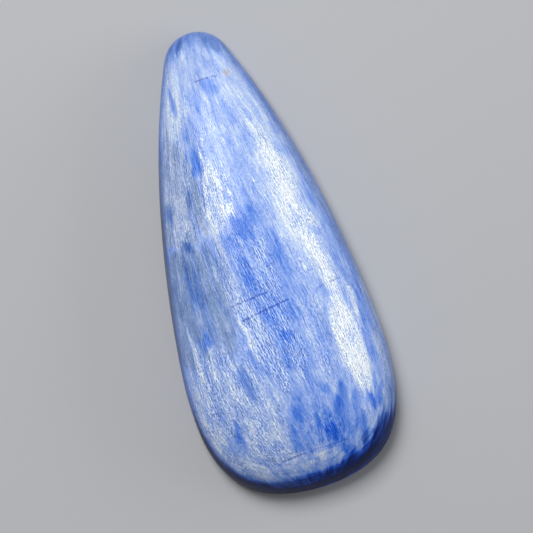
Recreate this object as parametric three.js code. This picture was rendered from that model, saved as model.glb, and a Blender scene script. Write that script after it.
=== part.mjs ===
// A polished kyanite cabochon: one solid stone with a pear outline, a domed front and a bevelled, flat back.
// Millimetres, +Z up. The stone lies on its flat back, dome up, with its narrow tip along +Y.
// The origin is on the back, at the centre of the outline's box.
import * as THREE from "three";
import { ParametricGeometry } from "three/addons/geometries/ParametricGeometry.js";

// Driving dimensions
const LENGTH = 38;
const WIDTH = 16.4;
const THICKNESS = 6.8;
const WIDEST_Y = -9; // where the outline is widest, towards the round end
const TIP_RADIUS = 2.75;
const FLANK_LEAN = THREE.MathUtils.degToRad(23.5); // how far a flank leans inwards where it meets the tip

// Handles of the curves that draw a flank: how far each end keeps its own direction
const ROUND_END_HANDLE = 7.8;
const WIDEST_HANDLE_DOWN = 4.5;
const WIDEST_HANDLE_UP = 1;
const TIP_HANDLE = 12.5;

// Section of the stone, from its back to the top of its dome
const GIRDLE_Z = 0.6; // height of the widest edge, above the bevel
const BEVEL_INSET = 0.45;
const APEX_Y = -6; // the top of the dome, nearer to the round end
const DOME_FULLNESS = 2.4; // power of the way from the apex to the edge: over 2 keeps the top broad
const DOME_STEEPNESS = 2.2; // root of the height that is left: over 2 makes the side steeper

// Mesh steps
const STEPS_AROUND = 112;
const DOME_RINGS = 20;

const STONE_COLOUR = 0x8fa9e6;

// The pear outline as a closed path: from the round end up the right flank, over the tip and down the left.
function pearOutline() {
  const halfLength = LENGTH / 2;
  const halfWidth = WIDTH / 2;
  const tipCentreY = halfLength - TIP_RADIUS;
  const meetX = TIP_RADIUS * Math.cos(FLANK_LEAN);
  const meetY = tipCentreY + TIP_RADIUS * Math.sin(FLANK_LEAN);
  const handleX = meetX + TIP_HANDLE * Math.sin(FLANK_LEAN);
  const handleY = meetY - TIP_HANDLE * Math.cos(FLANK_LEAN);
  const lowY = WIDEST_Y - WIDEST_HANDLE_DOWN;
  const highY = WIDEST_Y + WIDEST_HANDLE_UP;

  const path = new THREE.Path();
  path.moveTo(0, -halfLength);
  path.bezierCurveTo(ROUND_END_HANDLE, -halfLength, halfWidth, lowY, halfWidth, WIDEST_Y);
  path.bezierCurveTo(halfWidth, highY, handleX, handleY, meetX, meetY);
  path.absarc(0, tipCentreY, TIP_RADIUS, FLANK_LEAN, Math.PI - FLANK_LEAN, false);
  path.bezierCurveTo(-handleX, handleY, -halfWidth, highY, -halfWidth, WIDEST_Y);
  path.bezierCurveTo(-halfWidth, lowY, -ROUND_END_HANDLE, -halfLength, 0, -halfLength);
  return path;
}

// The section as rings, from the middle of the back, out over the bevel and up the dome to the apex.
// A ring holds its share of the way from the apex to the edge, its inset from the outline and its height.
function sectionRings() {
  const domeHeight = THICKNESS - GIRDLE_Z;
  const backMiddle = { share: 0, inset: BEVEL_INSET, height: 0 };
  const backEdge = { share: 1, inset: BEVEL_INSET, height: 0 };
  const dome = Array.from({ length: DOME_RINGS }, (_, ring) => {
    const share = Math.cos((ring / DOME_RINGS) * (Math.PI / 2)); // rings stand closer where the side is steep
    const rise = (1 - share ** DOME_FULLNESS) ** (1 / DOME_STEEPNESS);
    return { share, inset: 0, height: GIRDLE_Z + domeHeight * rise };
  });
  const apex = { share: 0, inset: 0, height: THICKNESS };
  return [backMiddle, backEdge, ...dome, apex];
}

// The whole skin: u runs once around the outline, and v along the rings of the section.
function stoneGeometry() {
  const outline = pearOutline();
  const edge = outline.getSpacedPoints(STEPS_AROUND);
  const inward = edge.map((_, step) => {
    const along = outline.getTangentAt(step / STEPS_AROUND);
    return new THREE.Vector2(-along.y, along.x);
  });
  const rings = sectionRings();
  const lastRing = rings.length - 1;

  const skin = (u, v, target) => {
    const step = Math.round(u * STEPS_AROUND) % STEPS_AROUND;
    const { share, inset, height } = rings[Math.round(v * lastRing)];
    const x = edge[step].x + inset * inward[step].x;
    const y = edge[step].y + inset * inward[step].y;
    target.set(share * x, APEX_Y + share * (y - APEX_Y), height);
  };
  return new ParametricGeometry(skin, STEPS_AROUND, lastRing);
}

const polishedKyanite = new THREE.MeshStandardMaterial({
  color: STONE_COLOUR,
  roughness: 0.3,
  metalness: 0,
});

const cabochon = new THREE.Mesh(stoneGeometry(), polishedKyanite);
cabochon.name = "cabochon";

const part = new THREE.Group();
part.add(cabochon);

export default part;
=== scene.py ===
"""A polished kyanite cabochon: its fine surface, its bladed blue markings and a plain studio around it."""

import math
from typing import NamedTuple

import bpy
import numpy as np
from mathutils import Matrix, Vector


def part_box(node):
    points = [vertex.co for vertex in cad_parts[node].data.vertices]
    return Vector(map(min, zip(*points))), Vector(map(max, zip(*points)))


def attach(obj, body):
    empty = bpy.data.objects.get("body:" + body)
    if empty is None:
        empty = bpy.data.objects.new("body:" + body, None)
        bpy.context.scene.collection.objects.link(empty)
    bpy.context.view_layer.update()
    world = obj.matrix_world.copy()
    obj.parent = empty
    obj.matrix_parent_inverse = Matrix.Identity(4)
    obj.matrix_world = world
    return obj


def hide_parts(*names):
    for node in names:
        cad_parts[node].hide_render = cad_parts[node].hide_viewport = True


bl_info = {
    "name": "Kyanite cabochon",
    "version": (1, 0, 0),
    "blender": (4, 5, 0),
    "location": "View3D > Sidebar > Cabochon",
    "description": "Cuts a pear-shaped kyanite cabochon with bladed markings and sets it on a plain stage",
    "category": "Add Mesh",
}

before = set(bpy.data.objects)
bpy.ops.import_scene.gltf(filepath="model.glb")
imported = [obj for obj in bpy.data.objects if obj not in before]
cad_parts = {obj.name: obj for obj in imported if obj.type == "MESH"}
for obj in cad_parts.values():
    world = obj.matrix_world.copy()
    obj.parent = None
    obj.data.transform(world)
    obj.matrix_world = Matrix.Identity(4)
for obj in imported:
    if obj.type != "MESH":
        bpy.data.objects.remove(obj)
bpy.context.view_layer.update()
STONE_LOW, STONE_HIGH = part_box("cabochon")
STONE_SIZE = STONE_HIGH - STONE_LOW

MM = 0.001

# The pear outline, in millimetres on a stone of the drawn size
DRAWN_LENGTH = 38.0
DRAWN_WIDTH = 16.4
WIDEST_Y = -9.0
TIP_RADIUS = 2.75
FLANK_LEAN = math.radians(23.5)
ROUND_END_HANDLE = 7.8
WIDEST_HANDLE_DOWN = 4.5
WIDEST_HANDLE_UP = 1.0
TIP_HANDLE = 12.5
CURVE_STEPS = 400

# The section, in millimetres on a stone of the drawn size
APEX_Y = -6.0
AXIS = np.array([0.0, APEX_Y])  # where the rings draw in to
DOME_FULLNESS = 2.4
DOME_STEEPNESS = 2.2
BEVEL_ROUNDING = 1.5  # 1 is a full round, 2 a straight bevel
SECTION_STEPS = 4000

# Steps of the stone's surface
STEPS_AROUND = 640
DOME_STEPS = 122
BEVEL_STEPS = 8
BACK_STEPS = 12

# The texture map: the dome's half and the back's half
MAP_FILL = 0.97  # how much of the map's height the stone takes up
DOME_MIDDLE = (0.25, 0.5)
BACK_MIDDLE = (0.75, 0.5)

# The grain: blades run like meridians from the tip to the round end, and drift sideways along the middle
GRAIN_END_WIDTH = 2.0  # how wide the bundle of blades still is where the outline closes, in millimetres
GRAIN_DRIFT = 0.17  # how far the middle blades go sideways for each millimetre along the stone
GRAIN_MIDDLE_Y = -2.0  # where they have not drifted
GRAIN_DEPTH = 0.3  # how much a millimetre of height counts for in the depth of the grain
BACK_GRAIN = -3.0  # how deep the back's fibres lie in the grain, apart from the dome's
LEAST_HALF_WIDTH = 1e-6
NOISE_CELLS = 64


class Grain(NamedTuple):
    """A layer of noise in the grain: its cells to the millimetre across and along it, seed and amount."""

    across: float
    along: float
    seed: int
    amount: float = 1.0


BLADE_SWAY = (Grain(1.1, 0.25, 11, 0.09), Grain(3.5, 0.9, 12, 0.08))  # moves the sides of the blades
BLADE_FIBRES = (Grain(2.4, 0.06, 13), Grain(6.0, 0.3, 14, 0.7))  # runs their ends out
RIM_SPIKES = (Grain(2.2, 0.4, 21), Grain(5.0, 0.8, 22, 0.6))  # moves the inner border of the dark rim
RIM_TONGUES = (Grain(2.4, 0.08, 23),)  # moves its ends up the flanks
FOOT_CLOUDS = (Grain(0.9, 0.45, 24, 0.3),)  # varies how it pales at its foot
WEAR_LEVELS = (Grain(1.8, 0.12, 31, 0.15), Grain(4.2, 0.5, 32, 0.15))  # what polishing took off
MEAN_WEAR = 0.3
SOFT_WEAR = 0.4  # what it took off besides where there is no sheen

# Zones of the skin, from where each begins to where it is full. A share is 0 at the axis and 1 at the edge.
LEFT_X = (2.0, -6.0)
RIGHT_EDGE_X = (5.0, 7.5)
WALL_SHARE = (0.90, 1.0)
LOWEST_WALL_SHARE = (0.95, 1.0)
FOOT_Z = (2.3, 0.7)
LOW_RIM_SHARE = (0.87, 0.96)
LOW_RIM_Y = (-10.0, -14.0)
BLOCKY_Y = (-10.0, -13.5)
TIP_Y = (13.0, 16.0)
SWEPT_SHARE = (0.72, 0.84)
SWEPT_Y = (-12.0, -15.5)
BACK_HEIGHT = 0.2  # how high the back's finish reaches, as a share of the bevel's height

# What the zones do to the markings
WALL_SHADE_TONE = (0.32, 0.68)  # painted shade added on the wall, on the right and on the left
WALL_SHADE_GREY = (0.55, 0.80)  # grey of painted shade aimed at on the wall, on the right and on the left
WALL_SHADE_GREY_SHARE = 0.7
RIM_STEEL = 0.22  # aimed at along the low rim, with more at its sides and its foot
SIDE_STEEL = 0.38
FOOT_STEEL = 0.25
FOOT_PALING = 0.4
FOOT_LIGHT = 0.22
LOWEST_WALL_LOSS = 0.6  # of sheen and grit
BACK_LOSS = 0.5  # of sheen
BACK_CALM = 0.4  # how far the back's tone goes to the plain one
SHORTENING = 0.6  # how much shorter the markings are in the blocky zone and at the tip

# The dark rim of the round end, on the left and on the right: partly the stone's deeper blue, partly painted
# shade and painted reflection of dark surroundings
RIM_SIDES_X = (-7.0, 6.0)
RIM_BORDER = (0.893, 0.845)  # the share at which it begins
RIM_SPIKE = (0.003, 0.013)  # how far spikes move that
RIM_TOP_Y = (-7.5, -13.15)  # how far up the flank it goes
RIM_TONGUE = (2.5, 1.0)  # how far tongues move that
RIM_FADE = (6.0, 2.8)  # the length over which it fades in from there
RIM_DEPTH = 0.16  # the share over which it gets full


class Blade(NamedTuple):
    """A blade or patch along the grain. Its path runs from its top to its foot through points (across,
    along) in millimetres, where across follows the grain and along is the stone's own Y."""

    path: tuple
    half: float  # half of its width, across the grain
    tone: float  # depth of its blue: 0 is pearl white, 1 is deep blue
    sheen: float = 0.1  # how much of it silky white flakes of painted sheen cover
    steel: float = 0.1  # how much grey dulls its blue
    grit: float = 0.3  # how crinkled it is: 0 is smooth
    ends: tuple = (3.0, 3.0)  # shape of its top and foot: 1 is pointed, 3 is round, 8 is square
    soft: float = 0.3  # width of its soft edge
    fray: float = 0.5  # how far its ends run out along single fibres


PLAIN_TONE = 0.42
PLAIN_SHEEN = 0.28
PLAIN_STEEL = 0.15
PLAIN_GRIT = 0.45

# Laid one over the other, from the broad zones to the small flecks and lines
BLADES = (
    # Broad zones of the upper half
    Blade(((1.5, 20), (1.5, 13)), 9, 0.36, 0.24, 0.36, 0.3, soft=1.5, fray=1.5),
    Blade(((-4.5, 18), (-4.5, 9)), 3.6, 0.22, 0.55, 0.12, 0.6, soft=1, fray=1.5),
    Blade(((5.6, 17), (4.6, 0)), 1.9, 0.27, 0.42, 0.08, 0.4, soft=0.6, fray=1.5),
    # The grey strip along the right edge, and the grey zone and dark strip of the left flank below, are
    # partly painted shade
    Blade(((7.9, 16), (7.9, -4)), 0.8, 0.48, 0.16, 0.55, 0.5, soft=0.5, fray=1.5),
    Blade(((-5, 11), (-5.1, 1.6)), 3.2, 0.44, 0.4, 0.62, 0.7, (2, 8), fray=0.7),
    Blade(((-8.1, 12), (-8.1, -8)), 0.8, 0.74, 0.08, 0.75, soft=0.4, fray=0.8),
    # Broad zones of the lower half
    Blade(((-5.3, 1.8), (-5.5, -9)), 3, 0.57, 0.2, 0.66, 0.4, (8, 2), soft=0.5),
    Blade(((-5.4, -7), (-5.4, -18.5)), 3.2, 0.35, 0.44, 0.32, 0.8, soft=0.8, fray=2.5),
    Blade(((-1.9, 1.4), (-2.6, -4)), 0.7, 0.48, 0.4, 0.52, 0.8, fray=0.8),
    Blade(((3.2, 3), (2.8, -6.7), (2.7, -9.5), (1.6, -14)), 0.9, 0.36, 0.37, 0.18, 0.55, soft=0.4,
          fray=0.8),
    Blade(((1, 3.2), (0.6, -2), (0.2, -8.5)), 1.9, 0.5, 0.3, 0.12, 0.9, (2, 2), soft=0.7, fray=1),
    Blade(((1.4, -12.3), (0.9, -17.4)), 3.7, 0.63, 0.1, 0, 0.4, soft=0.7, fray=0.8),
    # The bright blade of the upper half and its lace, their white flakes painted sheen
    Blade(((1.9, 12.8), (1, 9), (0.4, 6), (-0.1, 4), (-1.2, 1.5)), 1.9, 0.43, 0.44, 0, 0.7, (2, 4), 0.14),
    Blade(((-0.5, 8.6), (-0.4, 6.5), (-0.75, 5), (-1, 3.5), (-1.5, 1.6)), 1.2, 0.25, 0.62, 0, 0.8, (2, 4),
          0.16, 0.3),
    Blade(((1.2, 6.6), (1.2, 4.6), (0.2, 2.1)), 0.6, 0.56, 0.42, 0, 0.8, (2, 2), 0.4),
    Blade(((2.1, 12.2), (2.4, 10.1), (2.5, 8.8)), 0.3, 0.35, 0.6, 0, 0.7),
    Blade(((-5, 4.4), (-4.9, 2.1)), 0.8, 0.41, 0.44, 0.5, 0.7, soft=0.5),
    Blade(((-2.3, 6.8), (-2.6, 4.5), (-3.1, 1.9)), 0.5, 0.51, 0.16, 0.75, 0.8, (2, 3), soft=0.25),
    # The white band along the right: painted sheen, where the side light's real highlight also falls
    Blade(((6.6, 9.5), (6.6, 4.5), (6.9, 1), (6.9, -2.5)), 0.5, 0.42, 0.2, 0.05, 0.25, (2, 2), fray=0.8),
    Blade(((6.2, 12), (5.7, 8), (5.55, 5), (5, 2.5), (4.9, 0.5), (4.9, -4.5)), 1.2, 0.17, 0.56, 0.05, 0.6,
          (1.6, 3), soft=0.8, fray=0.8),
    Blade(((6.2, 11), (5.85, 8), (5.7, 5), (5.2, 2.5), (5.2, 0.5), (5.4, -2.5)), 0.8, 0.1, 0.66, 0, 0.8,
          (1.6, 3), soft=0.6, fray=0.8),
    Blade(((5.3, 0.6), (5.5, -1.5), (5.55, -3.5), (5.5, -5.5)), 0.65, 0.08, 0.73, 0, 0.8, soft=0.5),
    Blade(((5.5, -4.2), (5.1, -6.5), (4.85, -8.4), (4.75, -10), (4.8, -11.5), (4.85, -13.7)), 1.35, 0.08,
          0.79, 0, 0.9, (2, 2.2), soft=0.5),
    Blade(((4.75, -12.9), (4.3, -14.8)), 0.45, 0.47, 0.14, 0, 0.4),
    # Blue bands of the upper half
    Blade(((3.6, 13.2), (4, 12), (4.3, 10.9), (4.5, 9.7), (4.5, 8.3), (4.2, 6)), 0.42, 0.42, 0.16, 0.1, 0.3,
          (2, 2), soft=0.35),
    Blade(((3.3, 14.35), (3.7, 12.6)), 1.2, 0.5, 0.12, 0, 0.2, (8, 1.5), fray=0.2),
    Blade(((2.7, 9), (2.3, 6.5), (2.2, 4.2)), 0.4, 0.46, 0.25, 0, 0.3, (2, 2), soft=0.4),
    # The royal blue bands of the middle, and the pale column between them
    Blade(((-0.5, 1.7), (-0.55, -1.7), (-0.67, -3.5), (-0.3, -5.5), (-0.37, -7), (-0.7, -10.2)), 0.6, 0.52,
          0.26, 0, 0.8, (3, 2), soft=0.4),
    Blade(((2.7, 3.4), (2.75, 0.8), (2.5, -1), (1.8, -4.1), (1.5, -6.3), (1.2, -8.6)), 0.5, 0.57, 0.14,
          0.14, 0.35, (3, 1.5), soft=0.4),
    Blade(((1.3, 1), (1.2, -1.7), (0.9, -3.5), (0.9, -5.2)), 0.65, 0.43, 0.42, 0.05, 1, (2, 3)),
    Blade(((1.6, 4.4), (1.8, 2.9), (1.4, 1.2)), 0.6, 0.66, 0.12, 0, 0.5, (2, 2), soft=0.5),
    Blade(((0.5, 2.5), (0.6, 0.3)), 0.75, 0.74, 0.04, 0, 0.6, (3, 2), soft=0.35),
    Blade(((-0.7, 1.4), (-0.6, -0.5)), 0.5, 0.7, 0.06, 0, 0.7, (4, 2), soft=0.4),
    Blade(((-0.5, -0.2), (-0.55, -3.9)), 0.5, 0.73, 0.08, 0, 0.9, (2, 2), soft=0.4),
    # The grey silky zone below the middle, with its bright margin and blue feathers
    Blade(((-2.1, -2.8), (-1.9, -5), (-1.75, -7.5), (-1.6, -10), (-1.5, -12)), 0.85, 0.4, 0.42, 0.26, 1.1,
          (4, 2), soft=0.15, fray=0.4),
    Blade(((0.6, -6.5), (0.5, -8.5), (-0.3, -11.3)), 0.8, 0.51, 0.38, 0.2, 1.2, (2, 2)),
    Blade(((-2.7, -3.2), (-2.65, -5), (-2.45, -6.3), (-2.45, -9.8)), 0.24, 0.18, 0.8, 0.1, 0.8, (2, 1.5),
          soft=0.2),
    Blade(((-0.25, -5), (-0.2, -6.2)), 0.32, 0.57, 0.05, 0, 0.9),
    Blade(((0.25, -6.9), (0.2, -8.1)), 0.42, 0.76, 0.06, 0, 0.9, (1.6, 1.6), soft=0.25),
    Blade(((-0.55, -8), (-0.7, -10.2)), 0.34, 0.66, 0.18, 0.1, 1, (1.6, 1.6), soft=0.25),
    # Strips beside the white band
    Blade(((7.9, -3), (7.8, -6.8), (7.6, -9), (7.4, -13)), 0.4, 0.34, 0.26, 0.55, 0.8, soft=0.2),
    Blade(((6.6, -3.2), (6.58, -5.7), (6.4, -7.8)), 0.28, 0.14, 0.66, 0.05, 0.6, (2, 1.5), soft=0.15),
    Blade(((7.3, -2.2), (7.25, -5), (7, -7.2), (6.75, -8.8), (6.3, -10.7), (6, -12.4), (5.4, -14.3)), 0.36,
          0.54, 0.06, 0, 0.5, (1.5, 3), soft=0.25),
    Blade(((7.75, -4), (7.45, -10)), 0.1, 0.42, 0.1, 0.5, 0.6, soft=0.1, fray=0.3),
    Blade(((3.3, -4.2), (3.45, -7.1), (3.4, -9.5), (2.95, -11.2)), 0.32, 0.47, 0.18, 0.34, 0.5, (2, 4),
          soft=0.25),
    # Tongues and spears that point up from the round end
    Blade(((0.2, -11.8), (-0.3, -14), (-0.6, -16.4)), 1.8, 0.46, 0.16, 0, 0.5, (3, 8), soft=0.4, fray=0.3),
    Blade(((-0.75, -11.4), (-1.4, -12.5), (-2.2, -14), (-2.8, -15.8)), 0.75, 0.57, 0.08, 0, 0.4, (2, 5),
          0.25),
    Blade(((1.45, -9), (1, -10), (0.5, -10.8), (-0.3, -12.4)), 0.42, 0.52, 0.12, 0.05, 0.3, (1.5, 4), 0.25),
    Blade(((2.9, -10.6), (2.65, -12.2), (2.3, -13.4), (1.5, -15)), 0.5, 0.78, 0.04, 0.25, 0.3, (1.3, 6),
          0.22),
    Blade(((2.8, -12.8), (2.9, -14.5), (2.6, -16.5)), 1.1, 0.57, 0.08, 0, 0.4, (2, 4), soft=0.4),
    Blade(((0.2, -13.4), (0.2, -16.4)), 1.3, 0.62, 0.08, 0, 0.7, (2, 6), soft=0.5, fray=0.2),
    Blade(((-0.5, -14), (-0.3, -15.4)), 0.3, 0.7, 0.04, 0, 0.7, (1.4, 2), soft=0.25, fray=0.2),
    Blade(((0.15, -14.4), (0.1, -15.9)), 0.26, 0.83, 0.04, 0, 0.7, (1.4, 3), soft=0.22, fray=0.2),
    Blade(((0.75, -14.3), (0.8, -16.3)), 0.36, 0.92, 0.04, 0, 0.7, (1.3, 8), soft=0.2, fray=0.2),
    Blade(((5.25, -13), (5.45, -14.4)), 0.45, 0.78, 0.02, 0, 0.4, (2, 2), soft=0.25),
    Blade(((6.35, -12.2), (6.15, -14.2)), 0.4, 0.73, 0.03, 0, 0.4, (2, 2), soft=0.3),
    Blade(((2.1, -16.4), (1.5, -17.2)), 0.8, 0.77, 0.02, 0, 0.3, (3, 3), soft=0.3, fray=0.2),
    Blade(((4.5, -13.9), (4.9, -15.3)), 0.45, 0.4, 0.24, 0.25, 0.5, soft=0.3, fray=0.2),
    Blade(((4.6, -15.7), (4, -16.9)), 0.45, 0.86, 0.02, 0.5, 0.4, soft=0.3, fray=0.2),
    Blade(((6.5, -14.4), (5.7, -16.2)), 0.35, 0.86, 0.02, 0.7, 0.4, soft=0.3),
    # The cream band and the blue band along the round end
    Blade(((-2.6, -16.4), (-2.6, -17.2)), 3.7, 0.33, 0.31, 0.06, 0.6, (6, 4), soft=0.2, fray=0.1),
    Blade(((-1.8, -17.25), (-1.8, -18.3)), 4, 0.46, 0.05, 0, 0.4, (6, 4), fray=0.15),
    # Single flecks
    Blade(((-1.2, 9.6), (-1.35, 7.9), (-1.6, 6.5)), 0.42, 0.72, 0.04, 0, 0.4, (1.6, 2), soft=0.25,
          fray=0.4),
    Blade(((-2.47, 9.3), (-2.38, 8.4)), 0.26, 0.66, 0.1, 0.1, 0.4, (2, 2), soft=0.2),
    Blade(((-2.08, 7.5), (-1.98, 6.4)), 0.3, 0.76, 0.1, 0.2, 0.4, (2, 2), soft=0.2),
    Blade(((-2.5, 10.8), (-2.45, 9.8)), 0.16, 0.42, 0.1, 0.2, 0.3, (2, 2), soft=0.2),
    Blade(((0.86, 12.5), (0.8, 11.3)), 0.45, 0.58, 0.08, 0.15, 0.3),
    Blade(((-4.5, 15), (-3.46, 13.6), (-2.75, 11.8)), 0.6, 0.6, 0.02, 0, 0.2, (2, 2), soft=0.3),
    Blade(((-3.6, 5.9), (-3.4, 4.2)), 0.4, 0.66, 0.1, 0.8, 0.6, (2, 2), soft=0.25),
    Blade(((-6.65, 5.8), (-6.2, 3.4)), 0.4, 0.7, 0.05, 0.5, 0.5, (2, 2), soft=0.35),
    Blade(((-4.95, 2), (-4.65, 0.9)), 0.5, 0.88, 0.05, 0.65, 0.4, (4, 2), soft=0.3),
    Blade(((-5.2, 1.3), (-5.05, -0.2), (-5.4, -2.2), (-5.75, -4.5)), 0.45, 0.72, 0.08, 0.65, 0.4, (2, 2),
          soft=0.4),
    Blade(((-4.95, -1.5), (-5.5, -4.2)), 0.26, 0.72, 0.1, 0.5, 0.4, (2, 2), soft=0.3),
    Blade(((-5.5, -5.1), (-5.4, -7.1)), 0.4, 0.79, 0.03, 0.15, 0.5, (2, 1.6), soft=0.32, fray=0.4),
    Blade(((-4, -8.3), (-4.1, -10), (-4, -11.9)), 0.32, 0.66, 0.06, 0.38, 0.4, (6, 1.5), soft=0.18,
          fray=0.2),
    Blade(((-5.9, -12.6), (-5.95, -14.1), (-6, -14.8)), 0.22, 0.7, 0.02, 0, 0.4, (2, 2), soft=0.14),
    Blade(((-6.6, -13.4), (-6.4, -15.2)), 0.5, 0.45, 0.14, 0.1, 0.5, soft=0.4),
    Blade(((-0.57, 18.6), (-0.8, 17)), 0.9, 0.59, 0.03, 0.5, 0.4, (2, 2), soft=0.5, fray=0.3),
    Blade(((4.2, 18.9), (5, 18), (5.75, 17.4), (6.2, 16)), 0.75, 0.5, 0.05, 0.6, 0.3, (2, 2), soft=0.5),
    # Single bright lines and flakes of painted sheen
    Blade(((-6.7, -3.8), (-6.5, -6.8), (-6.4, -10.4)), 0.14, 0.14, 0.8, 0.2, 0.7, (1.5, 1.5), soft=0.12),
    Blade(((-0.8, 13.5), (-1.05, 11.2)), 0.3, 0.16, 0.82, 0, 0.7),
    Blade(((0.4, 17.3), (0.5, 15.9)), 0.45, 0.2, 0.72, 0, 0.6, soft=0.4),
    Blade(((4.07, -1.99), (3.89, -2.88)), 0.14, 0.05, 1, 0, 0.5, (1.5, 1.5), soft=0.1, fray=0.1),
    Blade(((0.46, 4.26), (0.13, 2.55)), 0.35, 0.16, 0.7, 0, 0.8, (2, 2), soft=0.2, fray=0.2),
    Blade(((6.14, 2.4), (6.08, 0.05)), 0.5, 0.14, 0.74, 0, 0.7, (2, 2), soft=0.3, fray=0.3),
    Blade(((-0.19, 4.17), (-0.28, 3.34)), 0.2, 0.12, 0.74, 0, 0.6, (1.5, 1.5), soft=0.12, fray=0.15),
    Blade(((0.97, 5.08), (0.97, 4.47)), 0.2, 0.12, 0.74, 0, 0.6, (1.5, 1.5), soft=0.12, fray=0.15),
    Blade(((-1.89, 4.46), (-1.95, 3.04)), 0.2, 0.12, 0.74, 0, 0.6, (1.5, 1.5), soft=0.12, fray=0.15),
    # A dark line beside the bright blade: the painted shadow of its step
    Blade(((-1.08, 7.38), (-1.51, 6.13), (-1.83, 4.86), (-2.11, 3.42), (-2.27, 2.28)), 0.08, 0.68, 0, 0.6,
          0.5, (2, 2), soft=0.08, fray=0.1),
)


class Crack(NamedTuple):
    """A hairline crack between two points in millimetres."""

    start: tuple
    end: tuple
    strength: float = 1.0


CRACKS = (
    Crack((-0.3, 14.3), (1.3, 14.35), 0.75),
    Crack((-1.6, 7.6), (-2.0, 6.5), 0.5),
    Crack((-2.0, 6.5), (-2.35, 4.0), 0.6),
    Crack((-2.3, -3.9), (0.5, -3.6)),
    Crack((-1.8, -5.2), (1.9, -4.6)),
    Crack((4.5, -4.3), (6.1, -3.9), 0.6),
    Crack((-2.1, -16.5), (0.2, -16.25), 0.7),
    Crack((0.2, -16.25), (3.1, -16.2), 0.5),
)
CRACK_REACH = 0.45  # how far from a crack the surface still knows of it, in millimetres
CRACK_CORE = CRACK_REACH / 3  # how far it is there in full
CRACK_TAPER = 2  # how much faster it is lost past its ends
FAR_AWAY = 1e3

# A small rusty stain near the tip, in millimetres
STAIN_PLACE = (2.15, 14.4)
STAIN_RADIUS = 0.55


class Silk(NamedTuple):
    """A layer of fibres: the width, length and depth of its cells in millimetres, where its noise starts,
    its finer copies of the noise, and what it follows: the grain, the wavy grain or the rim."""

    width: float
    length: float
    depth: float
    offset: float
    detail: float
    follows: str = "grain"


SILK = {
    "streaks": Silk(0.55, 8.0, 1.5, 3.0, 2.0),
    "ribbons": Silk(0.26, 2.2, 0.8, 7.0, 2.0),
    "flakes": Silk(0.26, 0.85, 0.5, 19.0, 3.0),
    "clouds": Silk(1.1, 2.4, 1.4, 23.0, 2.0),
    "haze": Silk(0.50, 1.6, 0.9, 29.0, 3.0),
    "polish": Silk(0.09, 7.0, 7.0, 33.0, 2.0, "rim"),
    "bands": Silk(0.20, 5.0, 5.0, 61.0, 2.0, "rim"),
    "fibres": Silk(0.13, 1.2, 0.4, 11.0, 2.0, "wavy"),
    "crinkle": Silk(0.11, 0.36, 0.3, 15.0, 3.0, "wavy"),
    "lace": Silk(0.09, 0.19, 0.15, 41.0, 1.0, "wavy"),
    "lines": Silk(0.10, 3.2, 0.4, 51.0, 2.0, "wavy"),
}
WAVE = Silk(0.80, 1.0, 0.8, 37.0, 1.0)
WAVE_REACH = 0.15  # how far the wave bends the grain, in millimetres
SILK_ROUGHNESS = 0.6
SILK_RANGE = (0.28, 0.72)  # the middle range of the noise
SLOPE_STEP = 0.25  # how far to either side a fibre is read for its slope, as a share of its width
MIDDLE = 0.5  # the mean of a layer of fibres

# Layers along the grain, and the layers along the rim that take their place where it is swept
SWEPT_FIBRES = (("streaks", "bands"), ("ribbons", "bands"), ("fibres", "polish"))
SWEPT_SLOPES = (("lines", "bands"), ("fibres", "polish"))

# Attributes that the finish reads besides the grain, the rim's run and where it is swept
MARKS = ("tone", "sheen", "steel", "grit", "dark", "blocky", "drawn_out", "on_back", "stain", "crack_side",
         "crack_near")

# Cells with one shade each, in millimetres
BLADE_CELL = (0.34, 5.0, 1.5)
PATCH_CELL = (0.42, 1.1, 1.0)

# How far layers move the tone, the rim's tone, the dulling and the crack lines
LONG_TONE = (("streaks", 0.22), ("blades", 0.16), ("ribbons", 0.12))
FINE_TONE = (("clouds", 0.18), ("fibres", 0.14), ("haze", 0.22), ("crinkle", 0.24))
RIM_TONE = (("fibres", 0.15), ("polish", 0.30), ("bands", 0.45))
DULLING = (("haze", 0.3), ("clouds", 0.25), ("dull blades", 0.45))
CRACK_WANDER = (("fibres", 0.16), ("crinkle", 0.12))
PATCH_TONE = 0.13
BLOCKY_PATCH_TONE = 0.14  # added in the blocky zone
CALM_TONES = (0.55, 0.95)  # between these the layers grow calm
CALM_MOST = 0.5
RIM_FULL = 0.5  # how dark the rim is where its own streaks are full
RIM_TONE_DEPTH = 1.05

# Colours by tone, at their places on a ramp that goes beyond deep blue
TONE_SPAN = 0.64
BLUES = (
    (0.00, "pearl"), (0.13, "pale"), (0.26, "light"), (0.36, "sky"), (0.455, "cornflower"),
    (0.55, "royal"), (0.65, "deep"), (0.82, "navy"), (1.00, "night"),
)
GREYS = ((0.03, "pearl"), (0.13, "mist"), (0.325, "steel"), (0.57, "slate"), (0.85, "night"))

# Silky flakes of painted sheen: they show where a field of layers is over a gate, which sheen opens and the
# dark rim closes
FIELD = (("flakes", 0.36), ("ribbons", 0.14), ("fibres", 0.22), ("lace", 0.28))
GATE = 0.95
GATE_SHEEN = -0.75
GATE_DARK = 0.6
GATE_SHIFTS = (("clouds", -0.12), ("patches of flakes", 0.24))
GATE_SOFTNESS = 0.24
SHEEN_WHITE = 0.85

# Light and shade of single fibres, from their slopes and the lace
GRIT_CLOUDS = (("clouds", 0.5),)
LEAST_GRIT = 0.05
LONG_RIDGES = 0.4
MARKING = 0.30
GRIT_MARKING = 0.85
GLINT_SLOPES = (0.12, 0.45)
GLINT_CALM = -1.4
GLINT_WHITE = 0.35
LACE_LIGHT = 0.9
FIBRE_LIGHT = ((0.0, (0.36, 0.44, 0.60)), (0.5, (1.0, 1.0, 1.0)), (1.0, (1.43, 1.45, 1.42)))

# Stain and cracks
STAIN_WEIGHT = 0.55
CRACK_LINE = (0.11, 0.02)  # from its edge to its core, in millimetres
CRACK_BREAKS = (0.15, 0.50)
CRACK_WEIGHT = 0.7

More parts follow.
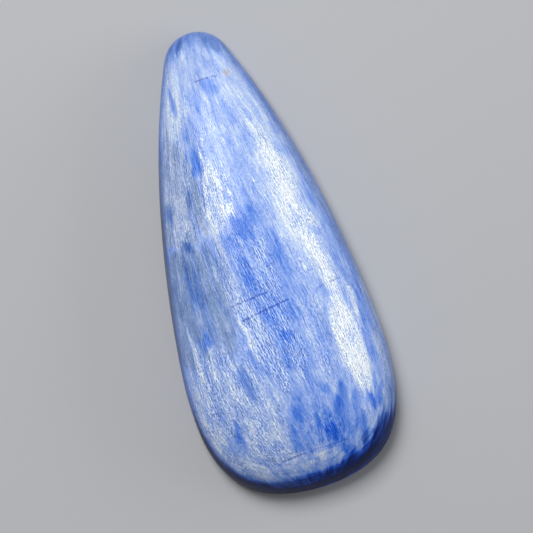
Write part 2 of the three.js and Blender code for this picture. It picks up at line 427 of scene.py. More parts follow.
# Polish
BUMP_SHARE = 0.5  # of the fibres and of the crinkle
BUMP_STRENGTH = 0.8
BUMP_DEPTH = 0.03 * MM
GLOSS_FIELD = (0.2, 0.8)
GLOSS_ROUGHNESS = (0.42, 0.28)
BACK_ROUGHNESS = 0.2
COAT = 0.3
COAT_END = 0.6
COAT_ROUGHNESS = 0.12
STONE_IOR = 1.5
STONE_SPECULAR = 0.1

# The studio: lengths in metres
FLOOR_REACH = 0.6
FLOOR_DROP = -0.01 * MM
FLOOR_ROUGHNESS = 0.9
SIDE_LIGHT_PLACE = (0.29, -0.04, 0.10)
SIDE_LIGHT_SIZE = (0.32, 0.15)
TOP_LIGHT_PLACE = (-0.04, 0.14, 0.27)
TOP_LIGHT_SIZE = (0.14, 0.14)
AIM_HEIGHT = 2 * MM
SENSOR_WIDTH = 36.0  # in millimetres, as a lens is
NEAREST_SEEN = 0.01
WHITE = (1.0, 1.0, 1.0)


def measure(name, description, default, unit="LENGTH"):
    """A measure that a user can change."""
    return bpy.props.FloatProperty(name=name, description=description, default=default, unit=unit)


def shade(name, description, default):
    """A colour that a user can change."""
    return bpy.props.FloatVectorProperty(name=name, description=description, default=default, subtype="COLOR")


class StoneShape(bpy.types.PropertyGroup):
    """Sizes of the stone"""

    length: measure("Length", "From the round end to the tip", STONE_SIZE.y)
    width: measure("Width", "Across the widest place", STONE_SIZE.x)
    thickness: measure("Thickness", "From the back to the top of the dome", STONE_SIZE.z)
    girdle: measure("Girdle height", "Height of the widest edge", 0.6 * MM)
    bevel: measure("Bevel", "How far the bevel of the back goes in", 0.45 * MM)
    relief: measure("Relief", "Depth that polishing left between harder and softer blades", 0.04 * MM)


class StoneColours(bpy.types.PropertyGroup):
    """Colours of the stone"""

    # Pearl is the white of the palest blades, and of the painted sheen in flakes and glints
    pearl: shade("Pearl", "Silky white of the brightest flakes", (0.885, 0.943, 1.0))
    pale: shade("Pale", "Palest blue blades", (0.54, 0.68, 0.98))
    light: shade("Light", "Light blue blades", (0.335, 0.485, 0.96))
    sky: shade("Sky", "Plain blue blades", (0.205, 0.36, 0.90))
    cornflower: shade("Cornflower", "Strong blue blades", (0.09, 0.245, 0.83))
    royal: shade("Royal", "Deep blue patches", (0.02, 0.14, 0.80))
    deep: shade("Deep", "Deepest blue flecks, and the cracks", (0.002, 0.065, 0.55))
    # Navy and night are mostly reached where painted shade deepens the tone, in the dark rim and down the
    # wall
    navy: shade("Navy", "Dark zone inside the edge", (0.0, 0.025, 0.21))
    night: shade("Night", "Darkest edge", (0.0, 0.008, 0.075))
    mist: shade("Mist", "Palest grey blades", (0.66, 0.71, 0.86))
    steel: shade("Steel", "Dull grey-blue blades", (0.27, 0.38, 0.62))
    slate: shade("Slate", "Darkest grey-blue blades", (0.085, 0.16, 0.38))
    rust: shade("Rust", "Stain near the tip", (0.52, 0.40, 0.38))


class Studio(bpy.types.PropertyGroup):
    """Camera, light and floor"""

    distance: measure("Distance", "From the camera to the stone", 0.22)
    frame_width: measure("Frame width", "What the picture takes in at the stone", 42.29 * MM)
    lean: measure("Lean", "How far the tip leans left in the picture", math.radians(16.2), "ROTATION")
    from_right: measure("From the right", "Camera's way off to the right", math.radians(2.9), "ROTATION")
    from_round_end: measure(
        "From the round end", "Camera's way off towards the round end", math.radians(6.8), "ROTATION"
    )
    aim: bpy.props.FloatVectorProperty(
        name="Aim", description="Where the picture's middle lies beside the stone's middle, right and up",
        size=2, default=(1.1 * MM, -0.81 * MM), unit="LENGTH"
    )
    floor: shade("Floor", "Colour of the floor", (0.50, 0.51, 0.53))
    key_power: measure("Key light", "Strength of the long light at the stone's right side", 0.34, "POWER")
    top_power: measure("Top light", "Strength of the soft light from above", 0.72, "POWER")
    fill: bpy.props.FloatProperty(name="Fill", description="Strength of the light all round", default=0.18)


def bezier(start, start_handle, end_handle, end):
    """A cubic curve: its four points weighed by (1-t)^3, 3t(1-t)^2, 3t^2(1-t) and t^3, t from 0 to 1."""
    t = np.linspace(0, 1, CURVE_STEPS)[:, None]
    points = np.array([start, start_handle, end_handle, end])
    weights = np.hstack([(1 - t) ** 3, 3 * t * (1 - t) ** 2, 3 * t**2 * (1 - t), t**3])
    return weights @ points


def right_flank():
    """Half of the outline: a curve from the round end to the widest place, one to the tip, and its arc."""
    half_length = DRAWN_LENGTH / 2
    half_width = DRAWN_WIDTH / 2
    tip_centre = np.array([0, half_length - TIP_RADIUS])
    meet = tip_centre + TIP_RADIUS * np.array([math.cos(FLANK_LEAN), math.sin(FLANK_LEAN)])
    tip_handle = meet + TIP_HANDLE * np.array([math.sin(FLANK_LEAN), -math.cos(FLANK_LEAN)])
    widest = (half_width, WIDEST_Y)
    round_end = (0, -half_length)
    end_handle = (ROUND_END_HANDLE, -half_length)
    lower = bezier(round_end, end_handle, (half_width, WIDEST_Y - WIDEST_HANDLE_DOWN), widest)
    upper = bezier(widest, (half_width, WIDEST_Y + WIDEST_HANDLE_UP), tip_handle, meet)
    turn = np.linspace(FLANK_LEAN, math.pi / 2, CURVE_STEPS)
    tip = tip_centre + TIP_RADIUS * np.column_stack([np.cos(turn), np.sin(turn)])
    return np.vstack([lower[:-1], upper[:-1], tip])


def pear_outline():
    """The whole outline at even steps, counter-clockwise, and its unit normals that point inwards."""
    right = right_flank()
    left = right[::-1] * [-1, 1]
    loop = np.vstack([right[:-1], left])
    run = np.concatenate([[0], np.cumsum(np.linalg.norm(np.diff(loop, axis=0), axis=1))])
    at = np.linspace(0, run[-1], STEPS_AROUND, endpoint=False)
    edge = np.column_stack([np.interp(at, run, loop[:, 0]), np.interp(at, run, loop[:, 1])])
    along = np.roll(edge, -1, axis=0) - np.roll(edge, 1, axis=0)
    along /= np.linalg.norm(along, axis=1, keepdims=True)
    inward = np.column_stack([-along[:, 1], along[:, 0]])
    return edge, inward


def section_rings(girdle, bevel, thickness):
    """The section as rings from the back's middle to the apex: share of the way from the axis to the edge,
    inset and height. The bevel is a quarter of a superellipse. The dome's height above the girdle goes with
    (1 - share^fullness)^(1/steepness), at even steps along that curve."""
    back_share = np.linspace(0, 1, BACK_STEPS + 1)[1:-1]
    turn = np.linspace(0, math.pi / 2, BEVEL_STEPS + 1)
    bevel_inset = bevel * (1 - np.sin(turn) ** BEVEL_ROUNDING)
    bevel_height = girdle * (1 - np.cos(turn) ** BEVEL_ROUNDING)

    fine = np.cos(np.linspace(0, math.pi / 2, SECTION_STEPS))
    rise = (thickness - girdle) * (1 - fine**DOME_FULLNESS).clip(0) ** (1 / DOME_STEEPNESS)
    run = np.concatenate([[0], np.cumsum(np.hypot(np.diff(fine) * DRAWN_WIDTH / 2, np.diff(rise)))])
    at = np.linspace(0, run[-1], DOME_STEPS + 1)[1:-1]
    dome_share = np.interp(at, run, fine)
    dome_height = girdle + np.interp(at, run, rise)

    share = np.concatenate([back_share, np.ones(BEVEL_STEPS + 1), dome_share])
    inset = np.concatenate([np.full(BACK_STEPS - 1, bevel), bevel_inset, np.zeros(DOME_STEPS - 1)])
    height = np.concatenate([np.zeros(BACK_STEPS - 1), bevel_height, dome_height])
    return share, inset, height


def smooth_step(low, high, value):
    """0 at low and before it, 1 at high and past it, and 3t^2 - 2t^3 between them."""
    t = ((value - low) / (high - low)).clip(0, 1)
    return t * t * (3 - 2 * t)


def between(ends, share):
    """From the first of two ends, at share 0, straight to the second, at share 1."""
    return ends[0] + share * (ends[1] - ends[0])


def lattice_noise(u, v, seed):
    """Smooth noise from 0 to 1: random heights on a grid of unit cells, blended between corners."""
    heights = np.random.default_rng(seed).random((NOISE_CELLS, NOISE_CELLS))
    column = np.floor(u).astype(int)
    row = np.floor(v).astype(int)
    across = smooth_step(0, 1, u - column)
    along = smooth_step(0, 1, v - row)

    def corner(right, up):
        return heights[(column + right) % NOISE_CELLS, (row + up) % NOISE_CELLS]

    low = corner(0, 0) * (1 - across) + corner(1, 0) * across
    high = corner(0, 1) * (1 - across) + corner(1, 1) * across
    return low * (1 - along) + high * along


def grain_noise(layers, across, along):
    """Layers of noise added up, each from minus its amount to its amount."""
    return sum(
        layer.amount * (2 * lattice_noise(across * layer.across, along * layer.along, layer.seed) - 1)
        for layer in layers
    )


def grain_across(x, y):
    """Places across the grain. With w the outline's half width at y, x is taken as its share of the
    bundle's width, the root of w^2 + end^2, and the middle drifts by (y - middle) w (1 - (x/w)^2)."""
    flank = right_flank()
    half = np.interp(y, flank[:, 1], flank[:, 0]).clip(LEAST_HALF_WIDTH)
    drift = GRAIN_DRIFT * (y - GRAIN_MIDDLE_Y) * half * (1 - (x / half).clip(-1, 1) ** 2)
    return (x * DRAWN_WIDTH / 2 + drift) / np.hypot(half, GRAIN_END_WIDTH)


def blade_mask(blade, across, along, fibres):
    """How much of a blade lies at each place. With t running from its top to its foot, its half width grows
    from each end as 1 - (1 - 2t)^shape to the middle, and its edge is a soft step. Fibres move its ends."""
    run = blade.fray * fibres - along
    path = np.array(blade.path)
    t = (run + path[0, 1]) / (path[0, 1] - path[-1, 1])
    middle = np.interp(run, -path[:, 1], path[:, 0])
    from_top = 1 - (1 - (2 * t).clip(0, 1)) ** blade.ends[0]
    from_foot = 1 - (1 - (2 - 2 * t).clip(0, 1)) ** blade.ends[1]
    half = blade.half * from_top * from_foot
    edge = smooth_step(-blade.soft, blade.soft, half - np.abs(across - middle))
    return edge * (half / blade.soft).clip(0, 1)


def paint_blades(across, along):
    """Rows of tone, sheen, steel and grit at each place, with every blade laid over the ones before it; the
    sheen row is painted sheen. Noise sways the blades' sides and runs their ends out along fibres."""
    swayed = across + grain_noise(BLADE_SWAY, across, along)
    fibres = grain_noise(BLADE_FIBRES, across, along)
    paint = np.repeat([[PLAIN_TONE], [PLAIN_SHEEN], [PLAIN_STEEL], [PLAIN_GRIT]], across.size, axis=1)
    for blade in BLADES:
        own = np.array([[blade.tone], [blade.sheen], [blade.steel], [blade.grit]])
        paint += blade_mask(blade, swayed, along, fibres) * (own - paint)
    return paint


def shaded_dark_rim(x, across, along, share):
    """The dark zone along the round end, partly deeper blue and partly painted shade and painted dark
    reflection: it goes further in on the right, its inner border is spiky, and it runs out up the flanks in
    tongues along the grain."""
    to_right = smooth_step(*RIM_SIDES_X, x)
    spikes = between(RIM_SPIKE, to_right) * grain_noise(RIM_SPIKES, across, along)
    tongues = between(RIM_TONGUE, to_right) * grain_noise(RIM_TONGUES, across, along)
    start = between(RIM_BORDER, to_right) + spikes
    top = between(RIM_TOP_Y, to_right) + tongues
    inside = smooth_step(start, start + RIM_DEPTH, share)
    return inside * smooth_step(top, top - between(RIM_FADE, to_right), along)


def crack_distance(x, y):
    """The signed distance to the nearest crack's line, and how much of that crack there is: its strength on
    it and 0 out of reach."""
    side = np.full(x.shape, CRACK_REACH)
    reach = np.full(x.shape, FAR_AWAY)
    strength = np.zeros(x.shape)
    for crack in CRACKS:
        start = np.array(crack.start)
        run = np.array(crack.end) - start
        length = np.linalg.norm(run)
        run = run / length
        t = (x - start[0]) * run[0] + (y - start[1]) * run[1]
        off = (y - start[1]) * run[0] - (x - start[0]) * run[1]
        past = (np.abs(t - length / 2) - length / 2).clip(0)
        away = np.hypot(off, past * CRACK_TAPER)
        nearer = away < reach
        side = np.where(nearer, off, side)
        strength = np.where(nearer, crack.strength, strength)
        reach = np.where(nearer, away, reach)
    return side, strength * smooth_step(CRACK_REACH, CRACK_CORE, reach)


def stone_faces(rings):
    """Corners of the faces: quads between neighbouring rings, and a fan of triangles at either pole."""
    step = np.arange(STEPS_AROUND)
    after = np.roll(step, -1)
    first = np.arange(rings - 1)[:, None] * STEPS_AROUND
    second = first + STEPS_AROUND
    quads = np.stack([first + step, first + after, second + after, second + step], axis=-1)
    back_pole = rings * STEPS_AROUND
    apex = back_pole + 1
    last = (rings - 1) * STEPS_AROUND
    back_fan = np.column_stack([np.full(STEPS_AROUND, back_pole), after, step])
    apex_fan = np.column_stack([np.full(STEPS_AROUND, apex), last + step, last + after])
    return quads.reshape(-1, 4), back_fan, apex_fan


def section_run(share, inset, height):
    """How far each ring is from the back's middle, along the section."""
    section = np.column_stack([share * DRAWN_WIDTH / 2 - inset, height])
    return np.concatenate([[0], np.cumsum(np.linalg.norm(np.diff(section, axis=0), axis=1))])


def grain_places(across, along, inward, share, run):
    """Where each place lies in the grain once the dome is rolled out flat: its way from the apex along the
    section, less the level part of that way, is added in the outline's outward direction. The back keeps
    its own plane."""
    level = share * DRAWN_WIDTH / 2
    rolled = run[-1] + level[-1] - run - level
    rolled[:BACK_STEPS] = 0
    shift = np.vstack([(-rolled[:, None, None] * inward).reshape(-1, 2), np.zeros((2, 2))])
    return across + shift[:, 0], along + shift[:, 1]


def bake_map(share, run, edge):
    """Every point's place on either half of the texture map: on the dome's half the rings spread by their
    way along the section, and on the back's half by their share. The poles come last."""
    unrolled = ((run[-1] - run) / (run[-1] - run[BACK_STEPS - 1])).clip(0, 1)

    def island(ring_share, middle):
        places = AXIS + ring_share[:, None, None] * (edge - AXIS)
        places = np.vstack([places.reshape(-1, 2), AXIS, AXIS])
        return places * MAP_FILL / DRAWN_LENGTH + middle

    return island(unrolled, DOME_MIDDLE), island(share, BACK_MIDDLE)


def store_map(mesh, dome_map, back_map, corners, quads, back_fan):
    """Puts the texture map on the mesh's corners. The back's own faces are its first quads and its fan."""
    is_back = np.zeros(len(corners), bool)
    is_back[: (BACK_STEPS - 1) * STEPS_AROUND * quads.shape[1]] = True
    is_back[quads.size : quads.size + back_fan.size] = True
    places = np.where(is_back[:, None], back_map[corners], dome_map[corners])
    mesh.uv_layers.new(name="OFBake").uv.foreach_set("vector", places.astype(np.float32).ravel())


def new_mesh(name, points, quads, back_fan, apex_fan):
    """A mesh from whole arrays: the points, then the quads and the two fans as faces."""
    mesh = bpy.data.meshes.new(name)
    corners = np.concatenate([quads.ravel(), back_fan.ravel(), apex_fan.ravel()]).astype(np.int32)
    totals = np.concatenate([np.full(len(quads), 4), np.full(len(back_fan) + len(apex_fan), 3)])
    starts = np.concatenate([[0], np.cumsum(totals)[:-1]]).astype(np.int32)
    mesh.vertices.add(len(points))
    mesh.vertices.foreach_set("co", points.astype(np.float32).ravel())
    mesh.loops.add(len(corners))
    mesh.loops.foreach_set("vertex_index", corners)
    mesh.polygons.add(len(totals))
    mesh.polygons.foreach_set("loop_start", starts)
    mesh.update(calc_edges=True)
    mesh.validate()
    mesh.shade_smooth()
    return mesh, corners


def store(mesh, name, values):
    """Puts one array of numbers or vectors on the mesh's points as an attribute."""
    kind, field = ("FLOAT", "value") if values.ndim == 1 else ("FLOAT_VECTOR", "vector")
    attribute = mesh.attributes.new(name, kind, "POINT")
    attribute.data.foreach_set(field, np.ascontiguousarray(values, dtype=np.float32).ravel())


def outward_normals(points):
    """Unit normals: the direction around each ring crossed with the direction from ring to ring. The last
    two points are the poles, which point straight down and up."""
    grid = points[:-2].reshape(-1, STEPS_AROUND, 3)
    around = np.roll(grid, -1, axis=1) - np.roll(grid, 1, axis=1)
    normals = np.cross(around, np.gradient(grid, axis=0)).reshape(-1, 3)
    normals = np.vstack([normals, [0, 0, -1], [0, 0, 1]])
    return normals / np.linalg.norm(normals, axis=1, keepdims=True)


class Skin(NamedTuple):
    """The smooth skin, ring by ring from the middle of the back to the apex, with the two poles last: each
    point's place in millimetres, and its share of the way from the axis to the edge."""

    x: np.ndarray
    y: np.ndarray
    z: np.ndarray
    share: np.ndarray


def smooth_skin(edge, inward, share, inset, height, thickness):
    """Every ring is the outline, inset and drawn in towards the axis by its share, at its height."""
    rim = edge + inset[:, None, None] * inward
    places = AXIS + share[:, None, None] * (rim - AXIS)
    return Skin(
        np.append(places[..., 0], [0, 0]),
        np.append(places[..., 1], [APEX_Y, APEX_Y]),
        np.append(np.repeat(height, STEPS_AROUND), [0, thickness]),
        np.append(np.repeat(share, STEPS_AROUND), [0, 0]),
    )


def stone_markings(skin, paint, grain_x, grain_y, girdle):
    """What the finish reads at each point, by name: the painted blades, deeper and greyer down the wall by
    painted shade, with the dark rim at the round end, partly painted shade, and a plainer back, and the
    cracks, the stain and the grain."""
    x, y, z, share = skin
    tone, sheen, steel, grit = paint.copy()
    on_back = smooth_step(BACK_HEIGHT * girdle, 0, z)
    to_left = smooth_step(*LEFT_X, x)
    to_sides = to_left + smooth_step(*RIGHT_EDGE_X, x)
    wall = smooth_step(*WALL_SHARE, share)
    foot = smooth_step(*FOOT_Z, z)
    low_rim = smooth_step(*LOW_RIM_SHARE, share) * smooth_step(*LOW_RIM_Y, y)
    blocky = smooth_step(*BLOCKY_Y, y)
    kept = 1 - LOWEST_WALL_LOSS * smooth_step(*LOWEST_WALL_SHARE, share)

    # Painted shade: the dark rim, paler at its foot, and the wall deeper and greyer, most on the left
    dark = shaded_dark_rim(x, grain_x, y, share)
    dark *= 1 - (FOOT_LIGHT + grain_noise(FOOT_CLOUDS, grain_x, grain_y)) * foot
    tone += between(WALL_SHADE_TONE, to_left) * wall * (1 - FOOT_PALING * foot)
    tone += BACK_CALM * on_back * (PLAIN_TONE - tone)
    steel += WALL_SHADE_GREY_SHARE * wall * (between(WALL_SHADE_GREY, to_left) - steel)
    steel += low_rim * (RIM_STEEL + SIDE_STEEL * to_sides + FOOT_STEEL * foot - steel)
    crack_side, crack_near = crack_distance(x, y)
    stain = smooth_step(STAIN_RADIUS, 0, np.hypot(x - STAIN_PLACE[0], y - STAIN_PLACE[1]))
    edge_gap = (1 - share) * DRAWN_WIDTH / 2
    return {
        "tone": tone,
        "sheen": sheen * (1 - BACK_LOSS * on_back) * kept,
        "steel": steel,
        "grit": grit * (1 - dark) * kept,
        "dark": dark,
        "swept": smooth_step(*SWEPT_SHARE, share) * smooth_step(*SWEPT_Y, y),
        "blocky": blocky,
        "drawn_out": 1 - SHORTENING * (blocky + smooth_step(*TIP_Y, y)),
        "stain": stain * (1 - on_back),
        "crack_side": crack_side,
        "crack_near": crack_near * (1 - on_back),
        "on_back": on_back,
        "rim_run": np.column_stack([edge_gap, x, y]),
        "grain": np.column_stack([grain_x, grain_y, GRAIN_DEPTH * z + BACK_GRAIN * on_back]),
    }


def blade_wear(across, along, sheen):
    """How far polishing wore each place down, from 0 to 1: hard blades with much painted sheen stand proud,
    and long blades and fibres of noise lie at their own levels."""
    return MEAN_WEAR + SOFT_WEAR * (1 - sheen.clip(0, 1)) + grain_noise(WEAR_LEVELS, across, along)


def stone_mesh(shape):
    """The stone: its smooth skin, with the dome sunk along its normals where softer blades were polished
    down, its markings as attributes, and its texture map."""
    girdle = shape.girdle / MM
    thickness = shape.thickness / MM
    edge, inward = pear_outline()
    share, inset, height = section_rings(girdle, shape.bevel / MM, thickness)
    run = section_run(share, inset, height)
    skin = smooth_skin(edge, inward, share, inset, height, thickness)
    across = grain_across(skin.x, skin.y)
    grain_x, grain_y = grain_places(across, skin.y, inward, share, run)
    paint = paint_blades(across, skin.y)
    sheen = paint[1]

    points = np.column_stack([skin.x, skin.y, skin.z])
    worn = blade_wear(grain_x, grain_y, sheen) * smooth_step(girdle, 2 * girdle, skin.z)
    points -= (shape.relief / MM) * worn[:, None] * outward_normals(points)
    points *= [shape.width / DRAWN_WIDTH, shape.length / DRAWN_LENGTH, MM]
    quads, back_fan, apex_fan = stone_faces(len(share))
    mesh, corners = new_mesh("cabochon_stone", points, quads, back_fan, apex_fan)
    mesh.materials.append(None)
    for name, values in stone_markings(skin, paint, grain_x, grain_y, girdle).items():
        store(mesh, name, values)
    dome_map, back_map = bake_map(share, run, edge)
    store_map(mesh, dome_map, back_map, corners, quads, back_fan)
    return mesh


class Nodes:
    """A node tree, with a method for each kind of node that the finish is made of."""

    def __init__(self, tree):
        self.tree = tree

    def add(self, kind, settings=None, inputs=None):
        """A new node with its settings, and its inputs linked to a socket or set to a value."""
        node = self.tree.nodes.new(kind)
        for name, value in (settings or {}).items():
            setattr(node, name, value)
        for name, value in (inputs or {}).items():
            if isinstance(value, bpy.types.NodeSocket):
                self.tree.links.new(value, node.inputs[name])
            else:
                node.inputs[name].default_value = value
        return node

    def attribute(self, name, output="Fac"):
        """One of the stone's own attributes."""
        return self.add("ShaderNodeAttribute", {"attribute_name": name}).outputs[output]

    def math(self, operation, first, second=0.0, third=0.0):
        """The output of one Math node."""
        inputs = {0: first, 1: second, 2: third}
        return self.add("ShaderNodeMath", {"operation": operation}, inputs).outputs[0]

    def product(self, value, *factors):
        """A value times all of its factors."""
        for factor in factors:
            value = self.math("MULTIPLY", value, factor)
        return value

    def weighed(self, value, amount, rest):
        """A value times its amount, with the rest added."""
        return self.math("MULTIPLY_ADD", value, amount, rest)

    def turned(self, share, first, second):
        """The first value, gone over into the second by a share."""
        return self.weighed(share, self.math("SUBTRACT", second, first), first)

    def shifted(self, value, layers, shifts):
        """A value moved up and down by layers: by how far each is from its middle, times its amount."""
        for name, amount in shifts:
            value = self.weighed(self.math("SUBTRACT", layers[name], MIDDLE), amount, value)
        return value

    def vector(self, operation, first, second):
        """The output of one Vector Math node."""
        return self.add("ShaderNodeVectorMath", {"operation": operation}, {0: first, 1: second}).outputs[0]

    def triple(self, x, y, z):
        """Three values as a vector."""
        return self.add("ShaderNodeCombineXYZ", inputs={"X": x, "Y": y, "Z": z}).outputs[0]

    def ramp(self, value, low, high, start=0.0, end=1.0, kind="SMOOTHSTEP"):
        """A value taken from the range low to high onto start to end, smoothly or straight."""
        inputs = {"Value": value, "From Min": low, "From Max": high, "To Min": start, "To Max": end}
        return self.add("ShaderNodeMapRange", {"interpolation_type": kind}, inputs).outputs["Result"]

    def colour_ramp(self, value, stops):
        """A ramp through colours at their places."""
        node = self.add("ShaderNodeValToRGB", inputs={"Fac": value})
        elements = node.color_ramp.elements
        while len(elements) < len(stops):
            elements.new(1.0)
        for element, (place, colour) in zip(elements, stops):
            element.position = place
            element.color = (*colour, 1.0)
        return node.outputs["Color"]

    def mix(self, share, first, second, blend="MIX"):
        """Two colours mixed by a share. The Mix node's inputs 6 and 7 and its output 2 are colours."""
        settings = {"data_type": "RGBA", "blend_type": blend}
        return self.add("ShaderNodeMix", settings, {0: share, 6: first, 7: second}).outputs[2]

    def washed(self, share, colour, wash):
        """A colour covered by a plain one by a share."""
        return self.mix(share, colour, (*wash, 1.0))

    def cells(self, run, size):
        """Three random values for each cell of a pattern whose cells have a size."""
        place = self.vector("DIVIDE", run, size)
        cells = self.add("ShaderNodeTexVoronoi", {"feature": "F1"}, {"Vector": place, "Scale": 1.0})
        return self.add("ShaderNodeSeparateColor", inputs={"Color": cells.outputs["Color"]}).outputs


def silk_group():
    """A node group of silky fibres: noise in cells of a given width, length and depth along the grain, with
    its middle range stretched to 0 and 1. It is read a little to either side: the mean is the fibres, and
    the difference is their slope across the grain."""
    group = bpy.data.node_groups.new("Silk fibres", "ShaderNodeTree")
    nodes = Nodes(group)
    sockets = group.interface
    sockets.new_socket("Grain", in_out="INPUT", socket_type="NodeSocketVector")
    for name in ("Width", "Length", "Depth", "Offset", "Detail"):
        sockets.new_socket(name, in_out="INPUT", socket_type="NodeSocketFloat")
    for name in ("Fibres", "Slope"):
        sockets.new_socket(name, in_out="OUTPUT", socket_type="NodeSocketFloat")
    given = nodes.add("NodeGroupInput").outputs
    cell = nodes.triple(given["Width"], given["Length"], given["Depth"])
    place = nodes.vector("ADD", nodes.vector("DIVIDE", given["Grain"], cell), given["Offset"])

    def noise_beside(shift):
        beside = nodes.vector("ADD", place, (shift, 0.0, 0.0))
        inputs = {"Vector": beside, "Scale": 1.0, "Detail": given["Detail"], "Roughness": SILK_ROUGHNESS}
        noise = nodes.add("ShaderNodeTexNoise", {"noise_dimensions": "3D"}, inputs).outputs["Fac"]
        return nodes.ramp(noise, *SILK_RANGE, kind="LINEAR")

    right = noise_beside(SLOPE_STEP)
    left = noise_beside(-SLOPE_STEP)
    mean = nodes.product(nodes.math("ADD", right, left), 0.5)
    slope = nodes.math("SUBTRACT", left, right)
    nodes.add("NodeGroupOutput", inputs={"Fibres": mean, "Slope": slope})
    return group


def silk_layers(nodes):
    """Every layer of fibres and cells by name, and the fibres' slopes. Fine layers follow a grain that a
    wave bends. Where the round end is swept, layers along the rim stand in for layers along the grain."""
    group = silk_group()

    def laid(silk, run):
        cell = {"Width": silk.width, "Length": silk.length, "Depth": silk.depth}
        inputs = {"Grain": run, **cell, "Offset": silk.offset, "Detail": silk.detail}
        outputs = nodes.add("ShaderNodeGroup", {"node_tree": group}, inputs).outputs
        return outputs["Fibres"], outputs["Slope"]

    grain = nodes.attribute("grain", "Vector")
    wave, _ = laid(WAVE, grain)
    bend = nodes.shifted(0.0, {"wave": wave}, (("wave", WAVE_REACH),))
    wavy = nodes.vector("ADD", grain, nodes.triple(bend, 0.0, 0.0))
    runs = {"grain": grain, "wavy": wavy, "rim": nodes.attribute("rim_run", "Vector")}
    layers = {}
    slopes = {}
    for name, silk in SILK.items():
        layers[name], slopes[name] = laid(silk, runs[silk.follows])

    swept = nodes.attribute("swept")
    for name, rim_name in SWEPT_FIBRES:
        layers[name] = nodes.turned(swept, layers[name], layers[rim_name])
    for name, rim_name in SWEPT_SLOPES:
        slopes[name] = nodes.turned(swept, slopes[name], slopes[rim_name])
    layers["blades"], _, layers["dull blades"] = nodes.cells(wavy, BLADE_CELL)
    layers["patches"], layers["patches of flakes"], _ = nodes.cells(wavy, PATCH_CELL)
    return layers, slopes


def stone_tone(nodes, layers, marks):
    """The depth of the blue: the painted tone moved by the layers, less so in deep blue, and the dark rim,
    partly painted shade, with its own streaks on top. Also how calm each place is."""
    drawn_out = [(name, nodes.product(marks["drawn_out"], amount)) for name, amount in LONG_TONE]
    patch_tone = nodes.weighed(marks["blocky"], BLOCKY_PATCH_TONE, PATCH_TONE)
    varied = nodes.shifted(marks["tone"], layers, (*drawn_out, ("patches", patch_tone), *FINE_TONE))
    calm = nodes.ramp(marks["tone"], *CALM_TONES, 0.0, CALM_MOST)
    tone = nodes.turned(calm, varied, marks["tone"])
    rim_tone = nodes.shifted(marks["dark"], layers, RIM_TONE)
    rim_tone = nodes.product(rim_tone, nodes.ramp(marks["dark"], 0.0, RIM_FULL))
    return nodes.weighed(rim_tone, RIM_TONE_DEPTH, tone), calm


def bladed_colour(nodes, layers, marks, tone, colours):
    """A blue picked by the tone, gone over into a grey-blue of the same tone where steel dulls it."""
    place = nodes.product(tone, TONE_SPAN)
    blues = nodes.colour_ramp(place, [(stop, getattr(colours, name)) for stop, name in BLUES])
    greys = nodes.colour_ramp(place, [(stop, getattr(colours, name)) for stop, name in GREYS])
    dulled = nodes.shifted(1.0, layers, DULLING)
    steel = nodes.ramp(nodes.product(marks["steel"], dulled), 0.0, 1.0)
    return nodes.mix(steel, blues, greys)


def sheen_flakes(nodes, layers, marks, field):
    """Where silky flakes of painted sheen lie: where the field is over a gate that sheen opens and the dark
    rim closes.
    """
    gate = nodes.weighed(marks["sheen"], GATE_SHEEN, GATE)
    gate = nodes.shifted(gate, layers, GATE_SHIFTS)
    gate = nodes.weighed(marks["dark"], GATE_DARK, gate)
    return nodes.ramp(field, gate, nodes.math("ADD", gate, GATE_SOFTNESS))


def fibre_light(nodes, layers, slopes, marks, calm):
    """White glints on the sides of fibres that face the light, and the light and shade of all fibres as a
    colour to multiply by. Grit makes both stronger."""
    grit = nodes.math("MAXIMUM", nodes.shifted(marks["grit"], layers, GRIT_CLOUDS), LEAST_GRIT)
    long_slope = nodes.math("ADD", slopes["fibres"], slopes["lines"])
    ridge = nodes.product(long_slope, LONG_RIDGES, marks["drawn_out"])
    ridge = nodes.weighed(slopes["crinkle"], grit, ridge)
    marking = nodes.weighed(grit, GRIT_MARKING, MARKING)
    lively = nodes.weighed(calm, GLINT_CALM, 1.0)
    glint = nodes.product(nodes.ramp(ridge, *GLINT_SLOPES), marking, lively, GLINT_WHITE)
    lit = nodes.weighed(ridge, marking, MIDDLE)
    lit = nodes.shifted(lit, layers, (("lace", nodes.product(grit, LACE_LIGHT)),))
    return glint, nodes.colour_ramp(lit, FIBRE_LIGHT)


def crack_lines(nodes, layers, marks):
    """Hairlines: the distance to a crack, moved by fibres, as a thin line that the haze breaks."""
    side = nodes.shifted(marks["crack_side"], layers, CRACK_WANDER)
    line = nodes.ramp(nodes.math("ABSOLUTE", side), *CRACK_LINE)
    return nodes.product(line, marks["crack_near"], nodes.ramp(layers["haze"], *CRACK_BREAKS))


